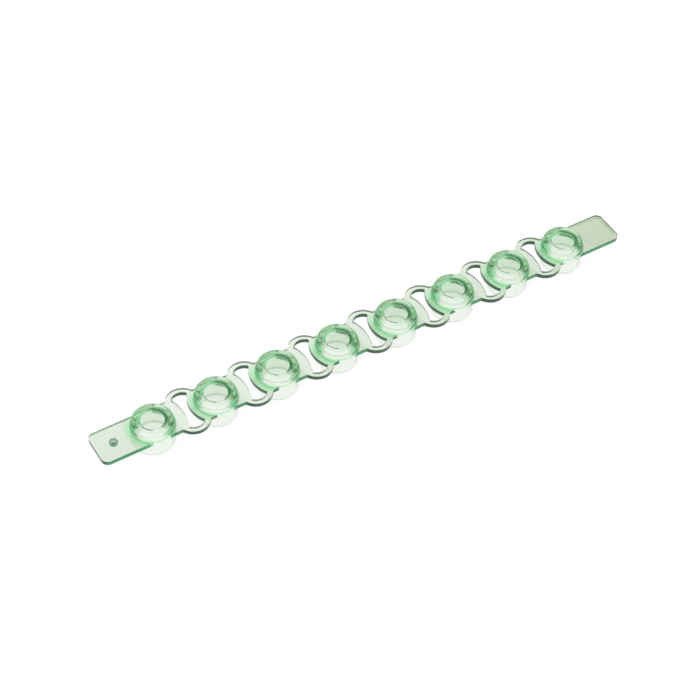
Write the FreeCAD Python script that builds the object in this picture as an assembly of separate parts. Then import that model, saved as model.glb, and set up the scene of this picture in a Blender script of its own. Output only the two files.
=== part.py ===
import FreeCAD, Part
import math
import os

# A strip of eight press-in caps for thin-wall tubes, moulded in one piece.
# Millimetres. +X runs along the strip, +Z is up. The origin is in the middle of the strip,
# in the plane of the eight open plug ends, which the strip stands on.

# Strip
CAP_COUNT = 8
PITCH = 9.0                 # spacing of the wells in a 96-well block
STRIP_LENGTH = 79.0         # over both end tabs

# Carrier plate
PLATE_BOTTOM = 2.08
PLATE_TOP = 2.75
PLATE_HALF_WIDTH = 2.57
TAB_CORNER = 0.9
PLATE_EDGE = 0.05           # rounding of the plate's upper and lower edges
OVERCUT = 1.0               # how far a cutting tool runs past the plate's faces

# The land to the right of a cap ends in a large arc, the one to its left in a tighter arc.
# Both are centred on the strip's middle line, at these distances from the cap's axis.
RIGHT_LAND_CENTRE = -1.92
RIGHT_LAND_RADIUS = 6.25
LEFT_LAND_CENTRE = 0.42
LEFT_LAND_RADIUS = 4.10

# Two bowed arms join neighbouring caps, one on each side of the opening between them.
ARM_CENTRE_X = 4.95         # from the axis of the cap on the left
ARM_CENTRE_Y = 1.47
ARM_OUTER_RADIUS = 2.27
ARM_INNER_RADIUS = 1.55
ARM_ROOT_ROUND = 0.30       # where an arm's outer arc meets the plate's side
OPENING_CORNER = 0.12

# Cap, outside: a cylindrical plug below the plate, a tapered collar above it
PLUG_RADIUS = 2.82
PLUG_LEAD_IN = 0.11
PLUG_LEAD_IN_HEIGHT = 0.26
COLLAR_BASE_RADIUS = 2.86
COLLAR_TOP_RADIUS = 2.67
COLLAR_ROUND = 0.50
COLLAR_FLARE = 0.25         # concave round where the collar rises from the plate
CAP_TOP = 3.92

# Cap, inside: open below, narrowing to a shoulder round a recessed window
MOUTH_RADIUS = 2.42
MOUTH_CHAMFER = 0.06
BORE_RADIUS = 2.36
BORE_TOP_RADIUS = 2.15
BORE_TOP = 2.90
BORE_ROUND = 0.50
WINDOW_FOOT_RADIUS = 1.60
WINDOW_FOOT = 3.30
WINDOW_ROUND = 0.15
WINDOW_RADIUS = 1.56
CEILING = 3.60

# Left tab: dimple left by the moulding gate, with its small broken stub
GATE_X = -36.98
GATE_RADIUS = 0.58
GATE_DEPTH = 0.30
STUB_RADIUS = 0.22
STUB_TIP_RADIUS = 0.15
STUB_HEIGHT = 0.20
STUB_ROOT = 0.05            # how far the stub starts below the dimple's floor

# Right tab: shallow marking panel, bare
PANEL_DEPTH = 0.08
PANEL_MARGIN = 0.50
PANEL_LENGTH = 4.0
PANEL_CORNER = 0.6


def cap_positions():
    first = -PITCH * (CAP_COUNT - 1) / 2
    return [first + PITCH * index for index in range(CAP_COUNT)]


def point(x, y, z=0.0):
    return FreeCAD.Vector(x, y, z)


def disc(radius, x, y, bottom, top):
    return Part.makeCylinder(radius, top - bottom, point(x, y, bottom))


def slab(x_min, x_max, y_min, y_max, bottom, top, corner):
    solid = Part.makeBox(x_max - x_min, y_max - y_min, top - bottom, point(x_min, y_min, bottom))
    return solid.makeFillet(corner, [edge for edge in solid.Edges if is_upright(edge)])


def is_upright(edge):
    ends = [vertex.Point for vertex in edge.Vertexes]
    return len(ends) == 2 and math.hypot(ends[0].x - ends[1].x, ends[0].y - ends[1].y) < 1e-6


def rounded_outline(corners):
    """Close (radius, height, rounding) corners into a wire in the XZ plane."""
    places = [point(radius, 0, height) for radius, height, _ in corners]
    starts = []
    ends = []
    edges = []
    for index, (_, _, rounding) in enumerate(corners):
        corner = places[index]
        back = (places[index - 1] - corner).normalize()
        ahead = (places[(index + 1) % len(places)] - corner).normalize()
        half_angle = back.getAngle(ahead) / 2
        setback = rounding / math.tan(half_angle)
        starts.append(corner + back * setback)
        ends.append(corner + ahead * setback)
        if rounding:
            inward = (back + ahead).normalize()
            crown = corner + inward * (rounding / math.sin(half_angle) - rounding)
            edges.append(Part.Arc(starts[-1], crown, ends[-1]).toShape())
    for index, end in enumerate(ends):
        edges.append(Part.makeLine(end, starts[(index + 1) % len(starts)]))
    return Part.Wire(Part.__sortEdges__(edges))


def turned(corners):
    """A solid of revolution about the Z axis."""
    return Part.Face(rounded_outline(corners)).revolve(point(0, 0), point(0, 0, 1), 360)


def opening_between(cap_x):
    """The opening to the right of a cap, bounded by two lands and two arms."""
    low = PLATE_BOTTOM - OVERCUT
    high = CAP_TOP + OVERCUT
    middle = cap_x + ARM_CENTRE_X
    shape = Part.makeBox(2 * ARM_INNER_RADIUS, 2 * ARM_CENTRE_Y, high - low,
                         point(middle - ARM_INNER_RADIUS, -ARM_CENTRE_Y, low))
    for side in (-1, 1):
        shape = shape.fuse(disc(ARM_INNER_RADIUS, middle, side * ARM_CENTRE_Y, low, high))
    shape = shape.cut(disc(RIGHT_LAND_RADIUS, cap_x + RIGHT_LAND_CENTRE, 0, low, high))
    shape = shape.cut(disc(LEFT_LAND_RADIUS, cap_x + PITCH + LEFT_LAND_CENTRE, 0, low, high))
    shape = shape.removeSplitter()
    return shape.makeFillet(OPENING_CORNER, [edge for edge in shape.Edges if is_upright(edge)])


def plate_with_arms(top):
    """The plate's outer outline: two tabs, and an arm's bulge on each side of every opening."""
    half = STRIP_LENGTH / 2
    plate = slab(-half, half, -PLATE_HALF_WIDTH, PLATE_HALF_WIDTH, PLATE_BOTTOM, top, TAB_CORNER)
    for cap_x in cap_positions()[:-1]:
        for side in (-1, 1):
            plate = plate.fuse(disc(ARM_OUTER_RADIUS, cap_x + ARM_CENTRE_X, side * ARM_CENTRE_Y,
                                    PLATE_BOTTOM, top))
    plate = plate.removeSplitter()
    roots = [edge for edge in plate.Edges if is_upright(edge) and is_arm_root(edge)]
    return plate.makeFillet(ARM_ROOT_ROUND, roots)


def is_arm_root(edge):
    place = edge.Vertexes[0].Point
    on_side = abs(abs(place.y) - PLATE_HALF_WIDTH) < 1e-6
    return on_side and abs(place.x) < cap_positions()[-1]


def sharp_plate(top):
    """The plate with its openings and sharp edges, up to a given height."""
    plate = plate_with_arms(top)
    for cap_x in cap_positions()[:-1]:
        plate = plate.cut(opening_between(cap_x))
    return plate


def carrier_plate():
    plate = sharp_plate(PLATE_TOP)
    return plate.makeFillet(PLATE_EDGE, [edge for edge in plate.Edges if not is_upright(edge)])


def cap_outside():
    return turned([
        (0, 0, 0),
        (PLUG_RADIUS - PLUG_LEAD_IN, 0, 0),
        (PLUG_RADIUS, PLUG_LEAD_IN_HEIGHT, 0),
        (PLUG_RADIUS, PLATE_BOTTOM, 0),
        (COLLAR_BASE_RADIUS, PLATE_TOP, 0),
        (COLLAR_TOP_RADIUS, CAP_TOP, COLLAR_ROUND),
        (0, CAP_TOP, 0),
    ])


def cap_inside():
    return turned([
        (0, -OVERCUT, 0),
        (MOUTH_RADIUS, -OVERCUT, 0),
        (MOUTH_RADIUS, 0, 0),
        (BORE_RADIUS, MOUTH_CHAMFER, 0),
        (BORE_TOP_RADIUS, BORE_TOP, BORE_ROUND),
        (WINDOW_FOOT_RADIUS, WINDOW_FOOT, WINDOW_ROUND),
        (WINDOW_RADIUS, CEILING, 0),
        (0, CEILING, 0),
    ])


def collar_foot():
    """A collar with the concave round at its foot, before it is trimmed to the plate's outline."""
    reach = COLLAR_BASE_RADIUS + COLLAR_FLARE
    flare_top = PLATE_TOP + COLLAR_FLARE
    share = COLLAR_FLARE / (CAP_TOP - PLATE_TOP)
    radius_there = COLLAR_BASE_RADIUS + share * (COLLAR_TOP_RADIUS - COLLAR_BASE_RADIUS)
    return turned([
        (BORE_RADIUS, PLATE_BOTTOM + PLATE_EDGE, 0),
        (reach, PLATE_BOTTOM + PLATE_EDGE, 0),
        (reach, PLATE_TOP, 0),
        (COLLAR_BASE_RADIUS, PLATE_TOP, COLLAR_FLARE),
        (radius_there, flare_top, 0),
        (BORE_RADIUS, flare_top, 0),
    ])


def gate_mark():
    """Return the gate's dimple and the stub that stands in it."""
    ball_radius = (GATE_RADIUS ** 2 + GATE_DEPTH ** 2) / (2 * GATE_DEPTH)
    floor = PLATE_TOP - GATE_DEPTH
    dimple = Part.makeSphere(ball_radius, point(GATE_X, 0, floor + ball_radius))
    stub = Part.makeCone(STUB_RADIUS, STUB_TIP_RADIUS, STUB_HEIGHT + STUB_ROOT,
                         point(GATE_X, 0, floor - STUB_ROOT))
    return dimple, stub


def marking_panel():
    right = STRIP_LENGTH / 2 - PANEL_MARGIN
    half_width = PLATE_HALF_WIDTH - PANEL_MARGIN
    return slab(right - PANEL_LENGTH, right, -half_width, half_width,
                PLATE_TOP - PANEL_DEPTH, PLATE_TOP + OVERCUT, PANEL_CORNER)


def cap_strip():
    dimple, stub = gate_mark()
    strip = carrier_plate().cut(marking_panel()).cut(dimple).fuse(stub)
    outline = sharp_plate(CAP_TOP)
    foot = collar_foot()
    outside = cap_outside()
    inside = cap_inside()
    for cap_x in cap_positions():
        place = point(cap_x, 0)
        strip = strip.fuse([foot.translated(place).common(outline), outside.translated(place)])
    for cap_x in cap_positions():
        strip = strip.cut(inside.translated(point(cap_x, 0)))
    return strip.removeSplitter()


def main():
    os.makedirs("parts", exist_ok=True)
    strip = cap_strip()
    box = strip.optimalBoundingBox()
    print("solids", len(strip.Solids), "valid", strip.isValid(), "volume", round(strip.Volume, 2))
    print("size", round(box.XLength, 2), round(box.YLength, 2), round(box.ZLength, 2))
    strip.exportStep("parts/cap_strip.step")


main()
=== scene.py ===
import math

import bmesh
import bpy
from mathutils import Matrix, Vector


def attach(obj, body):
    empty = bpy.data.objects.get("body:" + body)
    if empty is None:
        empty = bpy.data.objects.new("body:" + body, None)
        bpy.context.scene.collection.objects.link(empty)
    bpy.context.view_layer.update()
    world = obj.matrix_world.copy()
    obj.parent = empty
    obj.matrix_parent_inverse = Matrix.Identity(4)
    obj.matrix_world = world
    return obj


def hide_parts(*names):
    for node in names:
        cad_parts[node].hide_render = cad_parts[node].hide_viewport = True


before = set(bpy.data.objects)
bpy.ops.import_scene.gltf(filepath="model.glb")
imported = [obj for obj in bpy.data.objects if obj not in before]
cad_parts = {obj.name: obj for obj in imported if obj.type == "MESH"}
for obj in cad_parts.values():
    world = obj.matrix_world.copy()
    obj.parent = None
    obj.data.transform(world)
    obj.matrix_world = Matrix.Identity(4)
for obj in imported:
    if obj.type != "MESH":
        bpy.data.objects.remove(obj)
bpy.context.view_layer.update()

# The strip is drawn in millimetres, as its CAD source is, and brought to metres at the end.
MM = 0.001
METRES = Matrix.Scale(MM, 4)
UP = Vector((0, 0, 1))

# Strip
CAP_COUNT = 8
PITCH = 9.0
HALF_LENGTH = 39.5
PLATE_BOTTOM = 2.08
PLATE_TOP = 2.75
PLATE_HALF_WIDTH = 2.57
PLATE_EDGE = 0.05
TAB_CORNER = 0.9
CAP_X = [PITCH * (index - (CAP_COUNT - 1) / 2) for index in range(CAP_COUNT)]

# Lands and bowed arms, from the axis of the cap on their left
RIGHT_LAND = Vector((-1.92, 0, 0))
RIGHT_LAND_RADIUS = 6.25
LEFT_LAND = Vector((PITCH + 0.42, 0, 0))
LEFT_LAND_RADIUS = 4.10
ARM = Vector((4.95, 1.47, 0))
ARM_OUTER_RADIUS = 2.27
ARM_INNER_RADIUS = 1.55
ARM_ROOT_ROUND = 0.30
OPENING_CORNER = 0.12

# Cap
PLUG_RADIUS = 2.82
COLLAR_BASE_RADIUS = 2.86
COLLAR_TOP_RADIUS = 2.67
COLLAR_FLARE = 0.25
CAP_TOP = 3.92
BORE_RADIUS = 2.36
WALL_RADIUS = 2.48          # inside a cap's wall, where the plate ends

# Rings with the concave rounds, and the column of the plate's outline that trims them. They end
# inside the caps' walls and inside the plate.
FOOT_INNER_RADIUS = WALL_RADIUS + 0.05
FOOT_BOTTOM = PLATE_BOTTOM + 0.2
COLUMN_BOTTOM = PLATE_BOTTOM + 0.1

# Wall of a cap, from the middle of its top round to the middle of its ceiling:
# radius, height and rounding of each corner
CAP_WALL = [
    (0.00, CAP_TOP, 0),
    (COLLAR_TOP_RADIUS, CAP_TOP, 0.50),
    (COLLAR_BASE_RADIUS, PLATE_TOP, 0),
    (PLUG_RADIUS, PLATE_BOTTOM, 0),
    (PLUG_RADIUS, 0.26, 0.08),
    (2.71, 0.00, 0.03),
    (2.42, 0.00, 0.02),
    (BORE_RADIUS, 0.06, 0.02),
    (2.15, 2.90, 0.50),
    (1.60, 3.30, 0.15),
    (1.56, 3.60, 0.03),
    (0.00, 3.60, 0),
]

# Gate dimple and its stub, marking panel
GATE_X = -36.98
GATE_RADIUS = 0.58
GATE_DEPTH = 0.30
STUB_RADIUS = 0.22
STUB_TIP_RADIUS = 0.15
STUB_HEIGHT = 0.20
STUB_ROOT = 0.05            # how far the stub starts below the dimple's floor
STUB_ROUND = 0.03
PANEL_DEPTH = 0.08
PANEL_MARGIN = 0.50
PANEL_LENGTH = 4.0
PANEL_CORNER = 0.6

# Fineness
TURN_STEPS = 128
STUB_STEPS = 24
DIMPLE_STEPS = 64
DIMPLE_RINGS = 96
ARC_STEPS = 24
CORNER_STEPS = 6
PANEL_CORNER_STEPS = 8
PLATE_EDGE_STEPS = 2
ROUND_STEPS = 12
SMALL_ROUND = 0.1           # a round below this radius gets fewer steps
SMALL_ROUND_STEPS = 3
DOUBLES = 1e-5
SMOOTH_ANGLE = math.radians(35)
RIM_TURN = 0.5              # how much the normal's upward part changes across a plate's rim

# Kinds of socket of the shared groups
COLOUR = "NodeSocketColor"
NUMBER = "NodeSocketFloat"

# Plastic
REFRACTION = 1.49
THICK_GREEN = (0.10, 0.86, 0.16, 1)
THICK_DENSITY = 130
CLEAR_ROUGHNESS = 0.14
SIDE_ROUGHNESS = 0.25
SIDE_TRANSMISSION = 0.3
BORE_DULLNESS = 0.20        # roughness that a bore's wall has on top
MOTTLING_SCALE = 1800
MOTTLING_DETAIL = 4
MOTTLING_LIMITS = (0.35, 0.75)
MOTTLING_SPREAD = (0.85, 1.25)
WAVE_STRETCH = (0.35, 1, 1)
WAVE_SCALE = 900
WAVE_DETAIL = 2
WAVE_STRENGTH = 0.05
WAVE_HEIGHT = 0.04 * MM

# Painted shade on level faces: its tints, and where each starts and is full
CLEAR = (1, 0.99, 0.965, 1)
PLATE_PAINTED_SHADE = (0.75, 0.80, 0.71, 1)
TAB_PAINTED_SHADE = (0.64, 0.70, 0.55, 1)
WINDOW_PAINTED_SHADE = (0.765, 0.87, 0.75, 1)
TAB_SHADE_PLACES = (31.0, 39.0)
WINDOW_SHADE_HEIGHTS = (3.0, 3.2)
LEVEL_FACING = (0.90, 0.99)
SHADE_PLACES = (-40.0, 40.0)
SHADE_SHARES = (0.6, 1.5)    # at the strip's left and right ends
ARMS_SHADE_LEFT_OFF = 0.5             # share of the painted shade that is left off the arms

# Zones round a cap. Radii and heights run from where a zone starts to where it is full, and a
# second pair from where it fades to where it ends. Turns are cosines to the zone's middle side.
# Foot: painted green glow on the land at the left front of each collar's foot
FOOT_RADII = (COLLAR_BASE_RADIUS - 0.08, COLLAR_BASE_RADIUS, COLLAR_BASE_RADIUS + 0.35, 4.1)
FOOT_HEIGHTS = (PLATE_TOP - 0.1, PLATE_TOP - 0.02, PLATE_TOP + 0.2, PLATE_TOP + 0.3)
FOOT_SIDE = Vector((-0.80, -0.60, 0))
FOOT_TURNS = (-0.2, 0.7)
# Ring: painted green shade on the back of each collar's ring, with bands of painted light and
# shade
RING_RADII = (2.30, 2.42, 2.9, 3.0)
RING_HEIGHTS = (3.0, 3.5)
RING_SIDE = Vector((0.50, 0.87, 0))
RING_TURNS = (-0.85, -0.3)
BAND_WIDTH = 0.24           # of one band of painted light and one of painted shade on the ring
BAND_DEPTH = 0.35
# Flank: painted darker green shade on the sides of each collar
FLANK_RADII = (2.52, 2.6, 2.9, 3.0)
FLANK_HEIGHTS = (PLATE_TOP, 2.9)
FLANK_SIDE = Vector((0.83, -0.55, 0))
FLANK_TURNS = (0.50, 0.85)
FLANK_BACK_TURNS = (-0.2, 0.3)      # to the ring's side, where the flanks are painted green as well
# Crescent: painted dark reflection on the top of each cap's window
CRESCENT_CENTRE = Vector((-0.12, -0.18, 0))
CRESCENT_RADII = (1.54, 1.62, 1.80, 2.15)
CRESCENT_HEIGHTS = (3.8, 3.9)
CRESCENT_SIDE = Vector((0.99, 0.10, 0))
CRESCENT_TURNS = (0.0, 0.6)
# Lip: painted contact shade round the end of each plug, where it stands on the floor
LIP_RADII = (2.62, 2.70)
LIP_HEIGHTS = (0.10, 0.22)
BORE_RADII = (2.44, 2.48)
BORE_HEIGHTS = (3.2, 3.28)
BORE_TURNS = (-0.7, -0.3)
LANDS_MIDDLE = 0.85         # middle of the two lands beside a cap, from its axis
LANDS_REACH = (1.85, 2.45)  # how far from there the lands pass into arms
ARMS_END = (32.2, 32.6)     # from the strip's middle: only lands and tabs lie past it
# Colours of painted light and shade round each cap: a green glow at the collar's foot, a green
# ring with bands, darker green flanks, a dark crescent of painted reflection on the window,
# painted contact shade at the plug's lip
PAINTED_ZONE_LIGHT_AND_SHADE = {
    "Foot": (0.34, 0.86, 0.42, 1),
    "Ring": (0.34, 1.0, 0.38, 1),
    "Flank": (0.12, 0.66, 0.24, 1),
    "Crescent": (0.04, 0.24, 0.09, 1),
    "Lip": (0.20, 0.24, 0.20, 1),
}
ZONES = (*PAINTED_ZONE_LIGHT_AND_SHADE, "Arms", "Bore")
# painted shade in the gate's dimple, round its stub
GATE_PAINTED_SHADE = (0.08, 0.20, 0.12, 1)
GATE_RING_INSIDE = (STUB_RADIUS + 0.06, STUB_RADIUS + 0.16)
GATE_RING_OUTSIDE = (GATE_RADIUS, GATE_RADIUS + 0.12)

# Plate's sides: their painted green, painted shade and painted light, and how far a normal points
# left, right or back where they change
SIDE_PAINTED_GREEN = (0.09, 0.62, 0.22, 1)
SIDE_PAINTED_SHADE = (0.052, 0.155, 0.085, 1)
SIDE_PAINTED_LIGHT = (0.55, 0.66, 0.55, 1)
LEFT_FACING = (-0.75, -0.35)
RIGHT_FACING = (0.25, 0.65)
BACK_FACING = (0.25, 0.65)
UPRIGHT = 0.3               # the most that an upright face's normal may point up or down
CAP_CLEARANCE = 0.06        # between a cap's collar and the plate's sides

# Floor and room
WHITE = (1, 1, 1, 1)
FLOOR_SIZE = 10             # metres from its middle to its sides
FLOOR_DROP = 0.02 * MM      # keeps the floor clear of the plug ends
FLOOR_GREY = (0.15, 0.15, 0.15, 1)
FLOOR_GLOW = 0.90
FLOOR_GLOW_THROUGH = 0.88
DARK_SIDE = Vector((0.66, 0.38, 0.64)).normalized()
DARK_TURNS = (0.25, 0.65)   # cosines to that side, where the room starts to darken and stops
ROOM_DARK = (0.70, 0.70, 0.70, 1)


class Pen:
    """Draws a wire of lines and arcs, run by run."""

    def __init__(self, place):
        self.wire = bmesh.new()
        self.tip = bmesh.ops.create_vert(self.wire, co=place)["vert"][0]

    def line(self, place):
        if (self.tip.co - place).length < DOUBLES:
            return
        made = bmesh.ops.extrude_vert_indiv(self.wire, verts=[self.tip])
        self.tip = made["verts"][0]
        self.tip.co = place

    def arc(self, centre, towards, steps):
        """Turn about a centre, the shorter way, as far as the direction of another point."""
        start = self.tip.co - centre
        finish = towards - centre
        made = bmesh.ops.spin(self.wire, geom=[self.tip], cent=centre,
                              axis=start.cross(finish).normalized(), dvec=(0, 0, 0),
                              angle=start.angle(finish), steps=steps, use_merge=False)
        self.tip = [part for part in made["geom_last"] if isinstance(part, bmesh.types.BMVert)][0]


def meeting(first, first_radius, second, second_radius):
    """Where two circles about points of the strip's plane cross, on the side of +Y."""
    between = second - first
    distance = between.length
    along = (distance ** 2 + first_radius ** 2 - second_radius ** 2) / (2 * distance)
    across = math.sqrt(first_radius ** 2 - along ** 2)
    ahead = between / distance
    places = [first + ahead * along + UP.cross(ahead) * across * side for side in (-1, 1)]
    return max(places, key=lambda place: place.y)


def placed(bm, name):
    """Make a shape an object of the scene."""
    mesh = bpy.data.meshes.new(name)
    bm.to_mesh(mesh)
    bm.free()
    piece = bpy.data.objects.new(name, mesh)
    bpy.context.scene.collection.objects.link(piece)
    return piece


def closed(bm, name):
    """Merge and turn outwards a shape's skin, and make it an object."""
    bmesh.ops.remove_doubles(bm, verts=bm.verts, dist=DOUBLES)
    bmesh.ops.recalc_face_normals(bm, faces=bm.faces)
    return placed(bm, name)


def turned(corners, name, places, around=TURN_STEPS):
    """Turn a section of (radius, height, rounding) corners about an upright axis at each place."""
    spots = [Vector((radius, 0, height)) for radius, height, _ in corners]
    pen = Pen(spots[0])
    for index in range(1, len(corners) - 1):
        corner = spots[index]
        rounding = corners[index][2]
        back = (spots[index - 1] - corner).normalized()
        ahead = (spots[index + 1] - corner).normalized()
        half_angle = back.angle(ahead) / 2
        setback = rounding / math.tan(half_angle)
        pen.line(corner + back * setback)
        if rounding:
            centre = corner + (back + ahead).normalized() * (rounding / math.sin(half_angle))
            steps = SMALL_ROUND_STEPS if rounding < SMALL_ROUND else ROUND_STEPS
            pen.arc(centre, corner + ahead * setback, steps)
    pen.line(spots[-1])
    bm = pen.wire
    bmesh.ops.spin(bm, geom=bm.verts[:] + bm.edges[:], cent=(0, 0, 0), axis=UP, dvec=(0, 0, 0),
                   angle=math.tau, steps=around, use_merge=True)
    bmesh.ops.remove_doubles(bm, verts=bm.verts, dist=DOUBLES)
    first = bm.verts[:] + bm.edges[:] + bm.faces[:]
    for place in places[1:]:
        copy = bmesh.ops.duplicate(bm, geom=first)["geom"]
        moved = [part for part in copy if isinstance(part, bmesh.types.BMVert)]
        bmesh.ops.translate(bm, verts=moved, vec=place - places[0])
    bmesh.ops.translate(bm, verts=bm.verts, vec=places[0])
    return closed(bm, name)


def mirrored(wire):
    bmesh.ops.mirror(wire, geom=wire.verts[:] + wire.edges[:], matrix=Matrix.Identity(4),
                     merge_dist=DOUBLES, axis="Y")
    return wire


def outer_outline():
    """Two tabs, and an arm's bulge on each side of every opening."""
    side = PLATE_HALF_WIDTH
    pen = Pen(Vector((-HALF_LENGTH, 0, 0)))
    pen.line(Vector((-HALF_LENGTH, side - TAB_CORNER, 0)))
    corner = Vector((-HALF_LENGTH + TAB_CORNER, side - TAB_CORNER, 0))
    pen.arc(corner, corner + Vector((0, 1, 0)), CORNER_STEPS)
    rise = side + ARM_ROOT_ROUND - ARM.y
    reach = math.sqrt((ARM_OUTER_RADIUS + ARM_ROOT_ROUND) ** 2 - rise ** 2)
    for cap_x in CAP_X[:-1]:
        arm = Vector((cap_x, 0, 0)) + ARM
        left_root = arm + Vector((-reach, rise, 0))
        right_root = arm + Vector((reach, rise, 0))
        pen.line(Vector((left_root.x, side, 0)))
        pen.arc(left_root, arm, CORNER_STEPS)
        pen.arc(arm, right_root, ARC_STEPS)
        pen.arc(right_root, Vector((right_root.x, side, 0)), CORNER_STEPS)
    pen.line(Vector((HALF_LENGTH - TAB_CORNER, side, 0)))
    corner = Vector((HALF_LENGTH - TAB_CORNER, side - TAB_CORNER, 0))
    pen.arc(corner, corner + Vector((1, 0, 0)), CORNER_STEPS)
    pen.line(Vector((HALF_LENGTH, 0, 0)))
    return mirrored(pen.wire)


def opening_outline(cap_x):
    """The opening to the right of a cap, bounded by two lands and two arms."""
    place = Vector((cap_x, 0, 0))
    inner = ARM_INNER_RADIUS - OPENING_CORNER
    first = place + meeting(RIGHT_LAND, RIGHT_LAND_RADIUS + OPENING_CORNER, ARM, inner)
    second = place + meeting(LEFT_LAND, LEFT_LAND_RADIUS + OPENING_CORNER, ARM, inner)
    arm = place + ARM
    right_land = place + RIGHT_LAND
    left_land = place + LEFT_LAND
    pen = Pen(right_land + Vector((RIGHT_LAND_RADIUS, 0, 0)))
    pen.arc(right_land, first, CORNER_STEPS)
    pen.arc(first, first + (first - arm), CORNER_STEPS)
    pen.arc(arm, second, ARC_STEPS)
    pen.arc(second, left_land, CORNER_STEPS)
    pen.arc(left_land, place, CORNER_STEPS)
    return mirrored(pen.wire)


def circle_outline(cap_x, radius):
    wire = bmesh.new()
    bmesh.ops.create_circle(wire, cap_ends=False, segments=TURN_STEPS, radius=radius,
                            matrix=Matrix.Translation((cap_x, 0, 0)))
    return wire


def filled(outlines, bottom, top):
    """Fill the outlines and raise them to a slab."""
    bm = bmesh.new()
    for wire in outlines:
        mesh = bpy.data.meshes.new("outline")
        wire.to_mesh(mesh)
        wire.free()
        bm.from_mesh(mesh)
        bpy.data.meshes.remove(mesh)
    bmesh.ops.remove_doubles(bm, verts=bm.verts, dist=DOUBLES)
    bmesh.ops.triangle_fill(bm, use_beauty=True, use_dissolve=False, edges=bm.edges, normal=UP)
    made = bmesh.ops.extrude_face_region(bm, geom=bm.faces[:])
    raised = [part for part in made["geom"] if isinstance(part, bmesh.types.BMVert)]
    bmesh.ops.translate(bm, verts=bm.verts, vec=(0, 0, bottom))
    bmesh.ops.translate(bm, verts=raised, vec=(0, 0, top - bottom))
    return bm


def is_rim(edge):
    faces = edge.link_faces
    return len(faces) == 2 and abs(faces[0].normal.z - faces[1].normal.z) > RIM_TURN


def carrier_plate():
    holes = [circle_outline(cap_x, WALL_RADIUS) for cap_x in CAP_X]
    openings = [opening_outline(cap_x) for cap_x in CAP_X[:-1]]
    bm = filled([outer_outline()] + openings + holes, PLATE_BOTTOM, PLATE_TOP)
    bm.normal_update()
    bmesh.ops.bevel(bm, geom=[edge for edge in bm.edges if is_rim(edge)], offset=PLATE_EDGE,
                    affect="EDGES", segments=PLATE_EDGE_STEPS, profile=0.5, material=-1)
    return closed(bm, "plate")


def plate_column():
    """The plate's outline, tall enough to trim the collars' feet."""
    openings = [opening_outline(cap_x) for cap_x in CAP_X[:-1]]
    return closed(filled([outer_outline()] + openings, COLUMN_BOTTOM, CAP_TOP), "column")


def collar_feet():
    """Rings with the concave round at each collar's foot."""
    share = COLLAR_FLARE / (CAP_TOP - PLATE_TOP)
    shoulder = COLLAR_BASE_RADIUS + share * (COLLAR_TOP_RADIUS - COLLAR_BASE_RADIUS)
    reach = COLLAR_BASE_RADIUS + COLLAR_FLARE
    corners = [
        (FOOT_INNER_RADIUS, FOOT_BOTTOM, 0),
        (reach, FOOT_BOTTOM, 0),
        (reach, PLATE_TOP, 0),
        (COLLAR_BASE_RADIUS, PLATE_TOP, COLLAR_FLARE),
        (shoulder, PLATE_TOP + COLLAR_FLARE, 0),
        (FOOT_INNER_RADIUS, PLATE_TOP + COLLAR_FLARE, 0),
        (FOOT_INNER_RADIUS, FOOT_BOTTOM, 0),
    ]
    return turned(corners, "feet", [Vector((cap_x, 0, 0)) for cap_x in CAP_X])


def marking_panel():
    half_width = PLATE_HALF_WIDTH - PANEL_MARGIN
    right = HALF_LENGTH - PANEL_MARGIN
    bm = bmesh.new()
    bmesh.ops.create_cube(bm, size=1)
    bmesh.ops.scale(bm, verts=bm.verts, vec=(PANEL_LENGTH, 2 * half_width, 2 * PANEL_DEPTH))
    upright = [edge for edge in bm.edges
               if abs(edge.verts[0].co.z - edge.verts[1].co.z) > PANEL_DEPTH]
    bmesh.ops.bevel(bm, geom=upright, offset=PANEL_CORNER, affect="EDGES",
                    segments=PANEL_CORNER_STEPS, profile=0.5, material=-1)
    bmesh.ops.translate(bm, verts=bm.verts, vec=(right - PANEL_LENGTH / 2, 0, PLATE_TOP))
    return closed(bm, "panel")


def gate_dimple():
    radius = (GATE_RADIUS ** 2 + GATE_DEPTH ** 2) / (2 * GATE_DEPTH)
    centre = Vector((GATE_X, 0, PLATE_TOP - GATE_DEPTH + radius))
    bm = bmesh.new()
    bmesh.ops.create_uvsphere(bm, u_segments=DIMPLE_STEPS, v_segments=DIMPLE_RINGS,
                              radius=radius, matrix=Matrix.Translation(centre))
    return closed(bm, "dimple")


def gate_stub():
    floor = PLATE_TOP - GATE_DEPTH
    corners = [
        (0, floor - STUB_ROOT, 0),
        (STUB_RADIUS, floor - STUB_ROOT, 0),
        (STUB_TIP_RADIUS, floor + STUB_HEIGHT, STUB_ROUND),
        (0, floor + STUB_HEIGHT, 0),
    ]
    return turned(corners, "stub", [Vector((GATE_X, 0, 0))], around=STUB_STEPS)


def combine(base, operation, tool):
    """Join a tool to a shape, cut it away or keep what they share, and drop the tool."""
    modifier = base.modifiers.new(operation.lower(), "BOOLEAN")
    modifier.operation = operation
    modifier.solver = "MANIFOLD"
    modifier.object = tool
    depsgraph = bpy.context.evaluated_depsgraph_get()
    mesh = bpy.data.meshes.new_from_object(base.evaluated_get(depsgraph))
    base.modifiers.clear()
    old = base.data
    base.data = mesh
    bpy.data.meshes.remove(old)
    bpy.data.objects.remove(tool)
    return base


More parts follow.
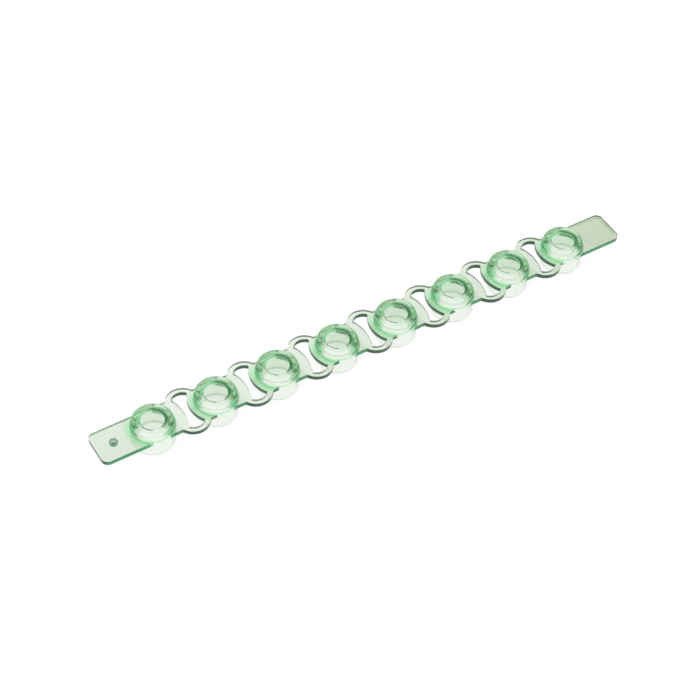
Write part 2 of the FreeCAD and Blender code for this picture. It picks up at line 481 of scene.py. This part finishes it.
def cap_strip_moulding():
    strip = carrier_plate()
    combine(strip, "DIFFERENCE", marking_panel())
    combine(strip, "DIFFERENCE", gate_dimple())
    combine(strip, "UNION", gate_stub())
    combine(strip, "UNION", combine(collar_feet(), "INTERSECT", plate_column()))
    caps = turned(CAP_WALL, "caps", [Vector((cap_x, 0, 0)) for cap_x in CAP_X])
    combine(strip, "UNION", caps)
    strip.name = "cap_strip_moulding"
    mesh = strip.data
    mesh.name = strip.name
    mesh.transform(METRES)
    mesh.shade_smooth()
    mesh.set_sharp_from_angle(angle=SMOOTH_ANGLE)
    weighted = strip.modifiers.new("flat faces stay flat", "WEIGHTED_NORMAL")
    weighted.mode = "FACE_AREA"
    weighted.keep_sharp = True
    return strip


def linked(tree, kind, feeds=None, **settings):
    """Add a node, with its settings and what its sockets take: a value or another's output."""
    node = tree.nodes.new(kind)
    for name, value in settings.items():
        setattr(node, name, value)
    for socket, value in (feeds or {}).items():
        if isinstance(value, bpy.types.NodeSocket):
            tree.links.new(value, node.inputs[socket])
        else:
            node.inputs[socket].default_value = value
    return node


def worked(tree, operation, *values):
    """One step of arithmetic."""
    return linked(tree, "ShaderNodeMath", dict(enumerate(values)), operation=operation).outputs[0]


def measured(tree, operation, *values):
    """A number worked out from vectors."""
    node = linked(tree, "ShaderNodeVectorMath", dict(enumerate(values)), operation=operation)
    return node.outputs["Value"]


def shifted(tree, operation, *values):
    """A vector worked out from vectors."""
    node = linked(tree, "ShaderNodeVectorMath", dict(enumerate(values)), operation=operation)
    return node.outputs["Vector"]


def product(tree, first, *others):
    """Several masks or shares multiplied."""
    for other in others:
        first = worked(tree, "MULTIPLY", first, other)
    return first


def step(tree, value, low, high, bottom=0.0, top=1.0):
    """Ease from one value to another while the input runs from low to high."""
    feeds = {"Value": value, "From Min": low, "From Max": high, "To Min": bottom, "To Max": top}
    ramp = linked(tree, "ShaderNodeMapRange", feeds, interpolation_type="SMOOTHSTEP")
    return ramp.outputs["Result"]


def fall(tree, value, low, high):
    """Ease from one to nothing while the input runs from low to high."""
    return step(tree, value, low, high, 1.0, 0.0)


def band(tree, value, start, full, fade, end):
    """Ease up from nothing to one, and down again further on."""
    return product(tree, step(tree, value, start, full), fall(tree, value, fade, end))


def blended(tree, share, first, second):
    """A colour between two others. The Mix node's colour sockets are known by their places."""
    feeds = {"Factor": share, 6: first, 7: second}
    return linked(tree, "ShaderNodeMix", feeds, data_type="RGBA").outputs[2]


def place_on_strip(tree):
    """Where a point is on the strip, in millimetres: along it, across it and up."""
    where = linked(tree, "ShaderNodeTexCoord").outputs["Object"]
    place = linked(tree, "ShaderNodeSeparateXYZ", {0: where}).outputs
    return [worked(tree, "MULTIPLY", place[axis], 1 / MM) for axis in "XYZ"]


def facing(tree):
    """How far the surface faces along the strip, across it and up."""
    normal = linked(tree, "ShaderNodeTexCoord").outputs["Normal"]
    return linked(tree, "ShaderNodeSeparateXYZ", {0: normal}).outputs


def shared_group(name, entries, exits):
    """A node group with its input and output sockets: the group, what it takes, where it ends."""
    group = bpy.data.node_groups.new(name, "ShaderNodeTree")
    for socket, kind in entries:
        group.interface.new_socket(socket, in_out="INPUT", socket_type=kind)
    for socket, kind in exits:
        group.interface.new_socket(socket, in_out="OUTPUT", socket_type=kind)
    return group, linked(group, "NodeGroupInput").outputs, linked(group, "NodeGroupOutput")


def grouped(tree, name, feeds=None):
    """A shared group put to use in a material."""
    return linked(tree, "ShaderNodeGroup", feeds, node_tree=bpy.data.node_groups[name]).outputs


def cap_zones():
    """Masks from the place round the nearest cap: where light and shade are painted, where the
    gloss is dull.
    """
    group, _, leave = shared_group("cap zones", [], [(zone, NUMBER) for zone in ZONES])
    along, across, height = place_on_strip(group)
    pitches = worked(group, "MULTIPLY_ADD", along, 1 / PITCH, (CAP_COUNT - 1) / 2)
    nearest = worked(group, "MAXIMUM", worked(group, "ROUND", pitches), 0.0)
    nearest = worked(group, "MINIMUM", nearest, CAP_COUNT - 1.0)
    beside = worked(group, "MULTIPLY", worked(group, "SUBTRACT", pitches, nearest), PITCH)
    flat = linked(group, "ShaderNodeCombineXYZ", {"X": beside, "Y": across}).outputs[0]
    radius = measured(group, "LENGTH", flat)
    turn = shifted(group, "NORMALIZE", flat)
    from_crescent = shifted(group, "SUBTRACT", flat, CRESCENT_CENTRE)
    crescent_turn = shifted(group, "NORMALIZE", from_crescent)
    from_lands = worked(group, "ABSOLUTE", worked(group, "SUBTRACT", beside, LANDS_MIDDLE))
    from_middle = worked(group, "ABSOLUTE", along)
    bands = worked(group, "SINE", worked(group, "MULTIPLY", radius, math.tau / BAND_WIDTH))

    def towards(side, turns, heading=turn):
        return step(group, measured(group, "DOT_PRODUCT", heading, side), *turns)

    both_sides = worked(group, "ABSOLUTE", measured(group, "DOT_PRODUCT", turn, FLANK_SIDE))
    masks = {
        "Foot": (band(group, radius, *FOOT_RADII), band(group, height, *FOOT_HEIGHTS),
                 towards(FOOT_SIDE, FOOT_TURNS)),
        "Arms": (step(group, from_lands, *LANDS_REACH), fall(group, from_middle, *ARMS_END)),
        "Ring": (band(group, radius, *RING_RADII), step(group, height, *RING_HEIGHTS),
                 towards(RING_SIDE, RING_TURNS),
                 worked(group, "MULTIPLY_ADD", bands, BAND_DEPTH, 1 - BAND_DEPTH)),
        "Flank": (band(group, radius, *FLANK_RADII), step(group, height, *FLANK_HEIGHTS),
                  worked(group, "MAXIMUM", step(group, both_sides, *FLANK_TURNS),
                         towards(RING_SIDE, FLANK_BACK_TURNS))),
        "Lip": (step(group, radius, *LIP_RADII), fall(group, height, *LIP_HEIGHTS)),
        "Crescent": (band(group, measured(group, "LENGTH", from_crescent), *CRESCENT_RADII),
                     step(group, height, *CRESCENT_HEIGHTS),
                     towards(CRESCENT_SIDE, CRESCENT_TURNS, crescent_turn)),
        "Bore": (fall(group, radius, *BORE_RADII), fall(group, height, *BORE_HEIGHTS),
                 towards(RING_SIDE, BORE_TURNS)),
    }
    for zone, parts in masks.items():
        group.links.new(product(group, *parts), leave.inputs[zone])


def level_painted_shade():
    """Painted shade on the level faces, darker towards the right tab: its tint."""
    entries = [("Clear", COLOUR), ("Painted shade", COLOUR), ("Arms", NUMBER)]
    group, entry, leave = shared_group("level painted shade", entries, [("Color", COLOUR)])
    level = step(group, worked(group, "ABSOLUTE", facing(group)["Z"]), *LEVEL_FACING)
    along = step(group, place_on_strip(group)[0], *SHADE_PLACES, *SHADE_SHARES)
    # less painted shade on the arms
    less_on_arms = worked(group, "MULTIPLY_ADD", entry["Arms"], -ARMS_SHADE_LEFT_OFF, 1.0)
    tint = blended(group, product(group, level, along, less_on_arms), entry["Clear"], entry["Painted shade"])
    group.links.new(tint, leave.inputs["Color"])


def moulded_surface():
    """Fine mottling of the gloss, and the faint waviness of moulded plastic."""
    exits = [("Roughness", NUMBER), ("Height", NUMBER)]
    group, entry, leave = shared_group("moulded surface", [("Gloss", NUMBER)], exits)
    where = linked(group, "ShaderNodeTexCoord").outputs["Object"]
    mottling = linked(group, "ShaderNodeTexNoise", {"Vector": where, "Scale": MOTTLING_SCALE,
                                                    "Detail": MOTTLING_DETAIL})
    spread = step(group, mottling.outputs["Fac"], *MOTTLING_LIMITS, *MOTTLING_SPREAD)
    flow = linked(group, "ShaderNodeMapping", {"Vector": where, "Scale": WAVE_STRETCH})
    waves = linked(group, "ShaderNodeTexNoise", {"Vector": flow.outputs[0], "Scale": WAVE_SCALE,
                                                 "Detail": WAVE_DETAIL})
    group.links.new(product(group, entry["Gloss"], spread), leave.inputs["Roughness"])
    group.links.new(waves.outputs["Fac"], leave.inputs["Height"])


def side_shade():
    """Masks for the plate's sides: painted shade on the left and along the arms, painted light
    right and back.
    """
    exits = [("Dark", NUMBER), ("Pale", NUMBER)]
    group, entry, leave = shared_group("side shade", [("Arms", NUMBER)], exits)
    normal = facing(group)
    dark = worked(group, "MAXIMUM", fall(group, normal["X"], *LEFT_FACING), entry["Arms"])
    pale = worked(group, "MAXIMUM", step(group, normal["X"], *RIGHT_FACING),
                  step(group, normal["Y"], *BACK_FACING))
    group.links.new(dark, leave.inputs["Dark"])
    group.links.new(pale, leave.inputs["Pale"])


def green_polypropylene(name, roughness, transmission):
    """The green plastic without its surface colour: material, nodes, shader and zone masks."""
    material = bpy.data.materials.new(name)
    material.use_nodes = True
    tree = material.node_tree
    shader = tree.nodes["Principled BSDF"]
    shader.inputs["Transmission Weight"].default_value = transmission
    shader.inputs["IOR"].default_value = REFRACTION
    zones = grouped(tree, "cap zones")
    dulled = worked(tree, "MULTIPLY_ADD", zones["Bore"], BORE_DULLNESS, roughness)
    surface = grouped(tree, "moulded surface", {"Gloss": dulled})
    tree.links.new(surface["Roughness"], shader.inputs["Roughness"])
    bump = linked(tree, "ShaderNodeBump", {"Height": surface["Height"],
                                           "Strength": WAVE_STRENGTH, "Distance": WAVE_HEIGHT})
    tree.links.new(bump.outputs["Normal"], shader.inputs["Normal"])
    body = linked(tree, "ShaderNodeVolumeAbsorption", {"Color": THICK_GREEN,
                                                       "Density": THICK_DENSITY})
    tree.links.new(body.outputs["Volume"], tree.nodes["Material Output"].inputs["Volume"])
    return material, tree, shader, zones


def gate_ring(tree):
    """Mask for the part of the gate's dimple that lies round its stub, where shade is painted."""
    where = linked(tree, "ShaderNodeTexCoord").outputs["Object"]
    gate = METRES @ Vector((GATE_X, 0, PLATE_TOP - GATE_DEPTH))
    apart = worked(tree, "MULTIPLY", measured(tree, "DISTANCE", where, gate), 1 / MM)
    return product(tree, fall(tree, apart, *GATE_RING_OUTSIDE),
                   step(tree, apart, *GATE_RING_INSIDE))


def clear_moulding():
    """Nearly colourless where it is thin; painted light and shade, much of it green, lie in the
    zones round each cap.
    """
    material, tree, shader, zones = green_polypropylene("green polypropylene",
                                                        CLEAR_ROUGHNESS, 1)
    along, _, height = place_on_strip(tree)
    # Painted shade on level faces: one tint on the plate, a darker one on the right tab, another
    # on the caps' windows
    painted_shade_tint = blended(tree, step(tree, along, *TAB_SHADE_PLACES), PLATE_PAINTED_SHADE, TAB_PAINTED_SHADE)
    painted_shade_tint = blended(tree, step(tree, height, *WINDOW_SHADE_HEIGHTS), painted_shade_tint, WINDOW_PAINTED_SHADE)
    painted_shade = grouped(tree, "level painted shade", {"Clear": CLEAR, "Painted shade": painted_shade_tint, "Arms": zones["Arms"]})
    colour = painted_shade["Color"]
    # painted light and shade laid zone by zone over the plastic's colour
    for zone, green in PAINTED_ZONE_LIGHT_AND_SHADE.items():
        colour = blended(tree, zones[zone], colour, green)
    colour = blended(tree, gate_ring(tree), colour, GATE_PAINTED_SHADE)
    tree.links.new(colour, shader.inputs["Base Color"])
    return material


def plate_side():
    """The plate's upright sides, with painted green, painted shade and painted light along the
    whole edge.
    """
    material, tree, shader, zones = green_polypropylene("plate side", SIDE_ROUGHNESS,
                                                        SIDE_TRANSMISSION)
    shade = grouped(tree, "side shade", {"Arms": zones["Arms"]})
    colour = blended(tree, shade["Dark"], SIDE_PAINTED_GREEN, SIDE_PAINTED_SHADE)
    tree.links.new(blended(tree, shade["Pale"], colour, SIDE_PAINTED_LIGHT), shader.inputs["Base Color"])
    return material


def is_plate_side(face):
    """Upright faces of the plate, away from the caps' own walls."""
    centre = face.center / MM
    if abs(face.normal.z) > UPRIGHT or not PLATE_BOTTOM < centre.z < PLATE_TOP:
        return False
    return all(math.hypot(centre.x - cap_x, centre.y) > COLLAR_BASE_RADIUS + CAP_CLEARANCE
               for cap_x in CAP_X)


strip = cap_strip_moulding()
strip.data.materials.clear()
for make_group in (cap_zones, level_painted_shade, moulded_surface, side_shade):
    make_group()
strip.data.materials.append(clear_moulding())
strip.data.materials.append(plate_side())
for face in strip.data.polygons:
    face.material_index = int(is_plate_side(face))
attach(strip, "root")
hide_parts("cap_strip")


# Floor and room
def glow(tree, to_camera, through):
    """How strongly a surface glows to the camera, and to reflections and the clear plastic."""
    path = linked(tree, "ShaderNodeLightPath").outputs
    bent = worked(tree, "MAXIMUM", path["Is Glossy Ray"], path["Is Transmission Ray"])
    seen = worked(tree, "MULTIPLY", path["Is Camera Ray"], to_camera)
    return worked(tree, "MULTIPLY_ADD", bent, through, seen)


def white_floor():
    bm = bmesh.new()
    bmesh.ops.create_grid(bm, x_segments=1, y_segments=1, size=FLOOR_SIZE,
                          matrix=Matrix.Translation((0, 0, -FLOOR_DROP)))
    floor = placed(bm, "floor")
    material = bpy.data.materials.new("white table")
    material.use_nodes = True
    tree = material.node_tree
    shader = tree.nodes["Principled BSDF"]
    shader.inputs["Base Color"].default_value = FLOOR_GREY
    shader.inputs["Roughness"].default_value = 1
    shader.inputs["Specular IOR Level"].default_value = 0
    shader.inputs["Emission Color"].default_value = WHITE
    tree.links.new(glow(tree, FLOOR_GLOW, FLOOR_GLOW_THROUGH), shader.inputs["Emission Strength"])
    floor.data.materials.append(material)
    return floor


def studio():
    """A room that the plastic shows as darker on one side, and is plain white otherwise."""
    world = bpy.data.worlds.new("studio")
    bpy.context.scene.world = world
    world.use_nodes = True
    tree = world.node_tree
    tree.nodes.clear()
    where = linked(tree, "ShaderNodeTexCoord").outputs["Generated"]
    fade = linked(tree, "ShaderNodeValToRGB",
                  {"Fac": measured(tree, "DOT_PRODUCT", where, DARK_SIDE)})
    for element, turn, shade in zip(fade.color_ramp.elements, DARK_TURNS, (WHITE, ROOM_DARK)):
        element.position = turn
        element.color = shade
    room = linked(tree, "ShaderNodeBackground", {"Color": fade.outputs["Color"]})
    white = linked(tree, "ShaderNodeBackground", {"Color": WHITE})
    path = linked(tree, "ShaderNodeLightPath").outputs
    plain = worked(tree, "MAXIMUM", path["Is Camera Ray"], path["Is Diffuse Ray"])
    mix = linked(tree, "ShaderNodeMixShader", {0: plain, 1: room.outputs[0], 2: white.outputs[0]})
    linked(tree, "ShaderNodeOutputWorld", {"Surface": mix.outputs[0]})


white_floor()
studio()


def camera():
    """Looks down on the strip from its left front corner."""
    elevation = math.radians(49.27)
    azimuth = math.radians(-33.553)
    roll = math.radians(2.922)
    target = Vector((-3.614, -1.725, 2.75))
    distance = 249.248
    back = Vector((math.sin(azimuth) * math.cos(elevation),
                   -math.cos(azimuth) * math.cos(elevation), math.sin(elevation)))
    right = UP.cross(back).normalized()
    up = back.cross(right)
    turned_right = right * math.cos(roll) + up * math.sin(roll)
    turned_up = up * math.cos(roll) - right * math.sin(roll)
    data = bpy.data.cameras.new("camera")
    data.lens = 98.63
    data.sensor_width = 36
    data.clip_start = 0.01
    eye = bpy.data.objects.new("camera", data)
    bpy.context.scene.collection.objects.link(eye)
    axes = Matrix((turned_right, turned_up, back)).transposed().to_4x4()
    axes.translation = METRES @ (target + back * distance)
    eye.matrix_world = axes
    bpy.context.scene.camera = eye


camera()
bpy.context.scene.view_settings.view_transform = "Standard"
